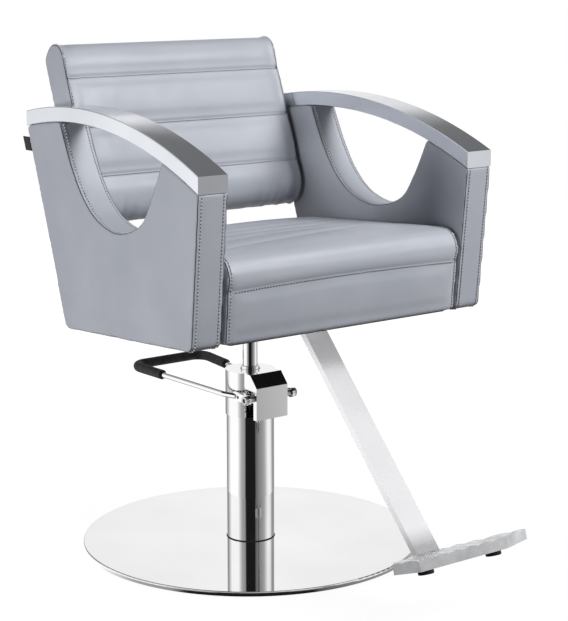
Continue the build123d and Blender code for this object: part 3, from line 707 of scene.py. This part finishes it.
def seat_sink(x, v, w):
    """How far sewing and pleats draw the seat's leather in, less the swell of its crown."""
    apron = ramp(-v, *APRON_SINKS) * groove(w - seat_seam_w(x), *APRON_CHANNEL)
    to_side = np.abs(x) - (SEAT_HALF - SEAT_SIDE_CHANNEL_IN)
    edge = ramp(-v, *SEAT_SIDE_SINKS) * groove(to_side, *SEAT_SIDE_CHANNEL)
    top = ramp(w, SEAT_H - 0.03, SEAT_H - 0.012)
    pleats = sum(groove(v - pleat_v(k, x), *PLEAT_CHANNEL) for k in range(len(PLEATS)))
    pleats *= top * (1 - 0.85 * ramp(x, 0.02, 0.19))
    along = (1 - ((v - CROWN_MIDDLE) / CROWN_REACH) ** 2).clip(0, 1)
    crown = CROWN * top * (1 - (x / SEAT_HALF) ** 2) * along
    return apron + edge + pleats - crown


def sew_seat(seat):
    xs = np.linspace(APRON_ROW_END - SEAT_HALF, SEAT_HALF - APRON_ROW_END, ROW_POINTS)
    row = [seat_point(x, APRON_SEAM, seat_seam_w(x) - APRON_ROW_DROP) for x in xs]
    rows = [seen_from_front(surface_tree(seat), SEAT, row)]
    seams = []
    profile = [(v, w) for v, w in seat_outline() if v < -0.2 and w > 0.004]
    for side in SIDES.values():
        for lines, inset in ((seams, SEAT_SEAM_INSET), (rows, SEAT_ROW_INSET)):
            lines.append([seat_point(side * (SEAT_HALF - inset), v, w) for v, w in profile])
    sew("seat", seat, seams, rows)


def make_seat():
    mesh = extruded("seat", seat_outline(), SEAT_HALF, SEAT)
    seat = new_piece("seat_leather", mesh, MATERIALS["leather"])
    rough = in_frame(SEAT, points_of(remeshed(seat, CUSHION_VOXEL, SMOOTHING)))
    puffed(seat, seat_freedom(*rough.T), cap=0.009)
    local = drawn_in(seat, SEAT, seat_sink)
    local[:, 0] = local[:, 0].clip(-SEAT_HALF, SEAT_HALF)
    local[:, 2] = local[:, 2].clip(0.0, None)
    move_points(seat.data, np.array([seat_point(*point) for point in local]))
    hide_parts("seat_cover", "seat_foam")
    sew_seat(seat)


def back_freedom(x, v, w):
    """How free the back's leather is to puff out, from 0 where it is held to 1."""
    free = ramp(BACK_HALF - np.abs(x), *HELD_AT_SIDE) * ramp(BACK_T / 2 - v, *HELD_AT_BACK_REAR)
    for line in QUILT_LINES:
        free *= 1 - ramp(-v, *BACK_FRONT) * (1 - ramp(np.abs(w - line), *HELD_AT_QUILT))
    return free


def back_sink(x, v, w):
    """How far quilting, sewing at the ends and gathers draw the back's leather in."""
    front, to_end = ramp(-v, *BACK_FRONT), BACK_HALF - np.abs(x)
    sink = front * groove(to_end - BACK_END_CHANNEL_IN, *BACK_END_CHANNEL)
    for line in QUILT_LINES:
        sink += front * ramp(to_end, -0.004, 0.012) * groove(w - line, *QUILT_CHANNEL)
    sink += BACK_END_SINK * (1 - ramp(to_end, 0.0, 0.009)) * ramp(-v, -0.028, -0.012)
    under_roll = ramp(-w, 0.262, 0.300) * ramp(-v, -0.045, -0.01)
    towards_ends = 0.35 + 0.65 * ramp(np.abs(x), 0.12, 0.20)
    return sink + GATHER_DEPTH * under_roll * towards_ends * gathers(x)


def sew_back(back):
    xs = np.linspace(QUILT_ROW_END - BACK_HALF, BACK_HALF - QUILT_ROW_END, ROW_POINTS)
    tree = surface_tree(back)
    rows = [[BACK @ Vector((x, -BACK_T / 2, line - QUILT_ROW_DROP)) for x in xs] for line in QUILT_LINES]
    rows = [seen_from_front(tree, BACK, row) for row in rows]
    round_the_end = back_outline() + back_outline()[:1]
    seams = []
    for side in SIDES.values():
        for lines, inset in ((seams, SEAM_INSET), (rows, SEAM_INSET + STITCH_GAP)):
            lines.append([BACK @ Vector((side * (BACK_HALF - inset), v, w)) for v, w in round_the_end])
    sew("back", back, seams, rows)


def make_back():
    mesh = extruded("back", back_outline(), BACK_HALF, BACK)
    back = new_piece("back_leather", mesh, MATERIALS["leather"])
    rough = in_frame(BACK, points_of(remeshed(back, CUSHION_VOXEL, SMOOTHING)))
    puffed(back, back_freedom(*rough.T), cap=0.008)
    local = drawn_in(back, BACK, back_sink)
    local[:, 0] = local[:, 0].clip(-BACK_HALF - BACK_BULGE, BACK_HALF + BACK_BULGE)
    move_points(back.data, from_frame(BACK, local))
    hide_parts("back_cover", "back_foam")
    sew_back(back)


def make_panel(name, side):
    place = panel_plane(side)
    half = PANEL_T / 2
    mesh = extruded(f"{name}_panel", panel_outline(), half, place)
    panel = new_piece(f"{name}_panel_leather", mesh, MATERIALS["leather"])
    remeshed(panel, PANEL_VOXEL, SMOOTHING)
    subdivided(panel)
    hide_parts(f"{name}_side_panel")
    seams, rows = [], []
    for face in (-1, 1):
        for line in (panel_foot(), opening_line()):
            for lines, inset in ((seams, SEAM_INSET), (rows, SEAM_INSET + STITCH_GAP)):
                lines.append([place @ Vector((face * (half - inset), y, z)) for y, z in line])
    sew(f"{name}_panel", panel, seams, rows)


def make_plunger_spring():
    """The return spring of the pump's plunger, which the plunger squeezes against the valve block."""
    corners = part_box("plunger_spring")
    low, high = Vector(corners[0]), Vector(corners[1])
    middle, height = (low + high) / 2, high.z - low.z
    up = Vector((0, 0, 1))
    rings = []
    for k in range(SPRING_TURNS * SPRING_STEPS + 1):
        turn = Matrix.Rotation(2 * math.pi * k / SPRING_STEPS, 3, "Z")
        rise = k / (SPRING_TURNS * SPRING_STEPS) * (height - 2 * SPRING_WIRE_R)
        outward = turn @ Vector((1, 0, 0))
        place = Vector((middle.x, middle.y, low.z + SPRING_WIRE_R + rise)) + outward * SPRING_R
        rings.append(ring_about(place, outward, up, SPRING_WIRE_R))
    bm = bmesh.new()
    tube(bm, rings)
    spring = smooth_piece("return_spring", bm, MATERIALS["plain_steel"], "base")
    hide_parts("plunger_spring")
    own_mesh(spring)


def make_foot_ring():
    """A thin black ring where the column's cover meets the base disc."""
    rings = []
    for k in range(FOOT_RING_STEPS):
        turn = Matrix.Rotation(2 * math.pi * k / FOOT_RING_STEPS, 3, "Z")
        middle = turn @ Vector((COLUMN_R, 0, DISC_TOP + FOOT_RING_LIFT))
        rings.append(ring_about(middle, turn @ Vector((1, 0, 0)), Vector((0, 0, 1)), FOOT_RING_R))
    bm = bmesh.new()
    tube(bm, rings, endless=True)
    smooth_piece("column_foot_ring", bm, MATERIALS["black_rubber"], "base")


# ---------------------------------------------------------------- studio


CAMERA_PLACE = Vector((-1.98199, -2.65120, 1.10684))
CAMERA_BACK = Vector((-0.60204, -0.77401, 0.19614))
LENS = 105.27


def make_camera():
    data = bpy.data.cameras.new("camera")
    data.lens = LENS
    data.sensor_width = 36.0
    camera = bpy.data.objects.new("camera", data)
    camera.location = CAMERA_PLACE
    camera.rotation_euler = CAMERA_BACK.to_track_quat("Z", "Y").to_euler()
    bpy.context.scene.collection.objects.link(camera)
    bpy.context.scene.camera = camera


# The studio as polished metal shows it: brightness by the angle round from straight towards the camera.
# Soft boxes stand round the chair, with dark gaps between them.
SURROUND_LOW = [
    (-180, 0.98), (-166, 0.85), (-152, 0.32), (-138, 0.32), (-120, 0.75), (-106, 1.12), (-62, 1.12),
    (-52, 0.72), (-42, 0.42), (-27, 0.32), (-22, 0.012), (21, 0.012), (24, 0.12), (40, 0.25),
    (58, 0.34), (70, 0.45), (82, 0.80), (96, 1.05), (112, 0.85), (126, 0.34), (150, 0.32), (166, 0.85),
    (180, 0.98),
]
SURROUND_HIGH = [
    (-180, 0.16), (-150, 0.18), (-120, 0.50), (-60, 0.75), (-30, 0.45), (30, 0.50), (60, 0.95),
    (118, 1.05), (136, 0.30), (150, 0.12), (180, 0.16),
]
LOW_TO_HIGH = (0.37, 0.48)
TOWARDS_CAMERA = math.atan2(CAMERA_PLACE.y, CAMERA_PLACE.x)
CHAIR_MIDDLE = Vector((0, 0, 0.6))
FLOOR_R = 9.0
FILL = 0.10
FLOOR_ALBEDO = 0.12
FLOOR_GLOW = (0.93, 1.0)
FLOOR_FADE = (0.35, 1.7)


def surround(tree, direction, stops):
    """Brightness by the angle of a direction round the chair."""
    turn = tree.nodes.new("ShaderNodeMapping")
    turn.inputs["Rotation"].default_value = (0, 0, -TOWARDS_CAMERA)
    around = tree.nodes.new("ShaderNodeTexGradient")
    around.gradient_type = "RADIAL"
    brightness = tree.nodes.new("ShaderNodeValToRGB")
    elements = brightness.color_ramp.elements
    while len(elements) < len(stops):
        elements.new(0.5)
    for element, (angle, value) in zip(elements, stops):
        element.position = 0.5 + angle / 360
        element.color = (value, value, value, 1)
    tree.links.new(direction, turn.inputs["Vector"])
    tree.links.new(turn.outputs["Vector"], around.inputs["Vector"])
    tree.links.new(around.outputs["Fac"], brightness.inputs["Fac"])
    return brightness.outputs["Color"]


def by_ray(tree, plain, in_reflections, to_camera, output):
    """One look for each kind of ray: bounced light, reflections in the metal, and the view itself."""
    path = tree.nodes.new("ShaderNodeLightPath")
    shaders = plain
    for kind, other in (("Is Glossy Ray", in_reflections), ("Is Camera Ray", to_camera)):
        mix = tree.nodes.new("ShaderNodeMixShader")
        tree.links.new(path.outputs[kind], mix.inputs["Fac"])
        tree.links.new(shaders, mix.inputs[1])
        tree.links.new(other, mix.inputs[2])
        shaders = mix.outputs["Shader"]
    tree.links.new(shaders, output.inputs["Surface"])


def glowing(tree, kind, colour, strength):
    """A Background or an Emission node, whose colour is fixed or comes from another node."""
    node = tree.nodes.new(kind)
    node.inputs["Strength"].default_value = strength
    if isinstance(colour, tuple):
        node.inputs["Color"].default_value = (*colour, 1)
    else:
        tree.links.new(colour, node.inputs["Color"])
    return node.outputs[0]


def make_floor():
    bm = bmesh.new()
    bmesh.ops.create_circle(bm, cap_ends=True, radius=FLOOR_R, segments=64)
    mesh = bpy.data.meshes.new("floor")
    bm.to_mesh(mesh)
    bm.free()
    floor = bpy.data.objects.new("floor", mesh)
    bpy.context.scene.collection.objects.link(floor)
    material = bpy.data.materials.new("floor")
    material.use_nodes = True
    tree = material.node_tree
    tree.nodes.remove(tree.nodes["Principled BSDF"])
    place = tree.nodes.new("ShaderNodeTexCoord").outputs["Object"]
    grey = tree.nodes.new("ShaderNodeBsdfDiffuse")
    grey.inputs["Color"].default_value = (FLOOR_ALBEDO, FLOOR_ALBEDO, FLOOR_ALBEDO, 1)
    away = tree.nodes.new("ShaderNodeVectorMath")
    away.operation = "LENGTH"
    tree.links.new(place, away.inputs[0])
    fade = tree.nodes.new("ShaderNodeMapRange")
    for bound, value in zip(("From Min", "From Max", "To Min", "To Max"), (*FLOOR_FADE, *FLOOR_GLOW)):
        fade.inputs[bound].default_value = value
    tree.links.new(away.outputs["Value"], fade.inputs["Value"])
    shown = tree.nodes.new("ShaderNodeAddShader")
    tree.links.new(grey.outputs[0], shown.inputs[0])
    tree.links.new(glowing(tree, "ShaderNodeEmission", fade.outputs["Result"], 1.0), shown.inputs[1])
    reflected = glowing(tree, "ShaderNodeEmission", surround(tree, place, SURROUND_LOW), 1.0)
    by_ray(tree, grey.outputs[0], reflected, shown.outputs[0], tree.nodes["Material Output"])
    mesh.materials.append(material)


def area_light(name, place, size, energy, only_on=None, in_reflections=False):
    """A square soft box that faces the middle of the chair."""
    data = bpy.data.lights.new(name, "AREA")
    data.size = size
    data.energy = energy
    light = bpy.data.objects.new(name, data)
    light.location = place
    light.rotation_euler = (Vector(place) - CHAIR_MIDDLE).to_track_quat("Z", "Y").to_euler()
    light.visible_glossy = in_reflections
    if only_on:
        lit = bpy.data.collections.new(name)
        for piece in only_on:
            lit.objects.link(piece)
        light.light_linking.receiver_collection = lit
    bpy.context.scene.collection.objects.link(light)


def make_world():
    world = bpy.data.worlds.new("studio")
    world.use_nodes = True
    bpy.context.scene.world = world
    tree = world.node_tree
    tree.nodes.remove(tree.nodes["Background"])
    direction = tree.nodes.new("ShaderNodeTexCoord").outputs["Generated"]
    height = tree.nodes.new("ShaderNodeSeparateXYZ")
    tree.links.new(direction, height.inputs["Vector"])
    levels = tree.nodes.new("ShaderNodeMapRange")
    levels.inputs["From Min"].default_value = LOW_TO_HIGH[0]
    levels.inputs["From Max"].default_value = LOW_TO_HIGH[1]
    tree.links.new(height.outputs["Z"], levels.inputs["Value"])
    seen = tree.nodes.new("ShaderNodeMixRGB")
    tree.links.new(levels.outputs["Result"], seen.inputs["Fac"])
    tree.links.new(surround(tree, direction, SURROUND_LOW), seen.inputs["Color1"])
    tree.links.new(surround(tree, direction, SURROUND_HIGH), seen.inputs["Color2"])
    by_ray(
        tree, glowing(tree, "ShaderNodeBackground", (0.95, 0.97, 1.0), FILL),
        glowing(tree, "ShaderNodeBackground", seen.outputs["Color"], 1.0),
        glowing(tree, "ShaderNodeBackground", (1, 1, 1), 1.0), tree.nodes["World Output"])


def make_light():
    make_world()
    bar = frame["nodes"]["footrest_bar"]
    meshes = [piece for piece in bpy.context.scene.objects if piece.type == "MESH"]
    leather_pieces = [piece for piece in meshes if piece.name.endswith("_leather")]
    key_place = (1.2, -2.3, 2.6)
    area_light("key", key_place, 1.4, 32, only_on=[piece for piece in meshes if piece != bar])
    area_light("key_on_leather", key_place, 1.4, 102, only_on=leather_pieces, in_reflections=True)
    area_light("low_front", (-0.9, -3.0, 0.25), 0.8, 135, only_on=[bar])
    area_light("left", (-3.2, -0.3, 0.8), 0.9, 74)
    area_light("behind", (1.0, 3.0, 2.2), 1.4, 60)
    bpy.context.scene.view_settings.view_transform = "Standard"


make_camera()
finish_cad_nodes()
make_seat()
make_back()
for panel_name, panel_side in SIDES.items():
    make_panel(panel_name, panel_side)
make_foot_ring()
make_plunger_spring()
make_floor()
make_light()
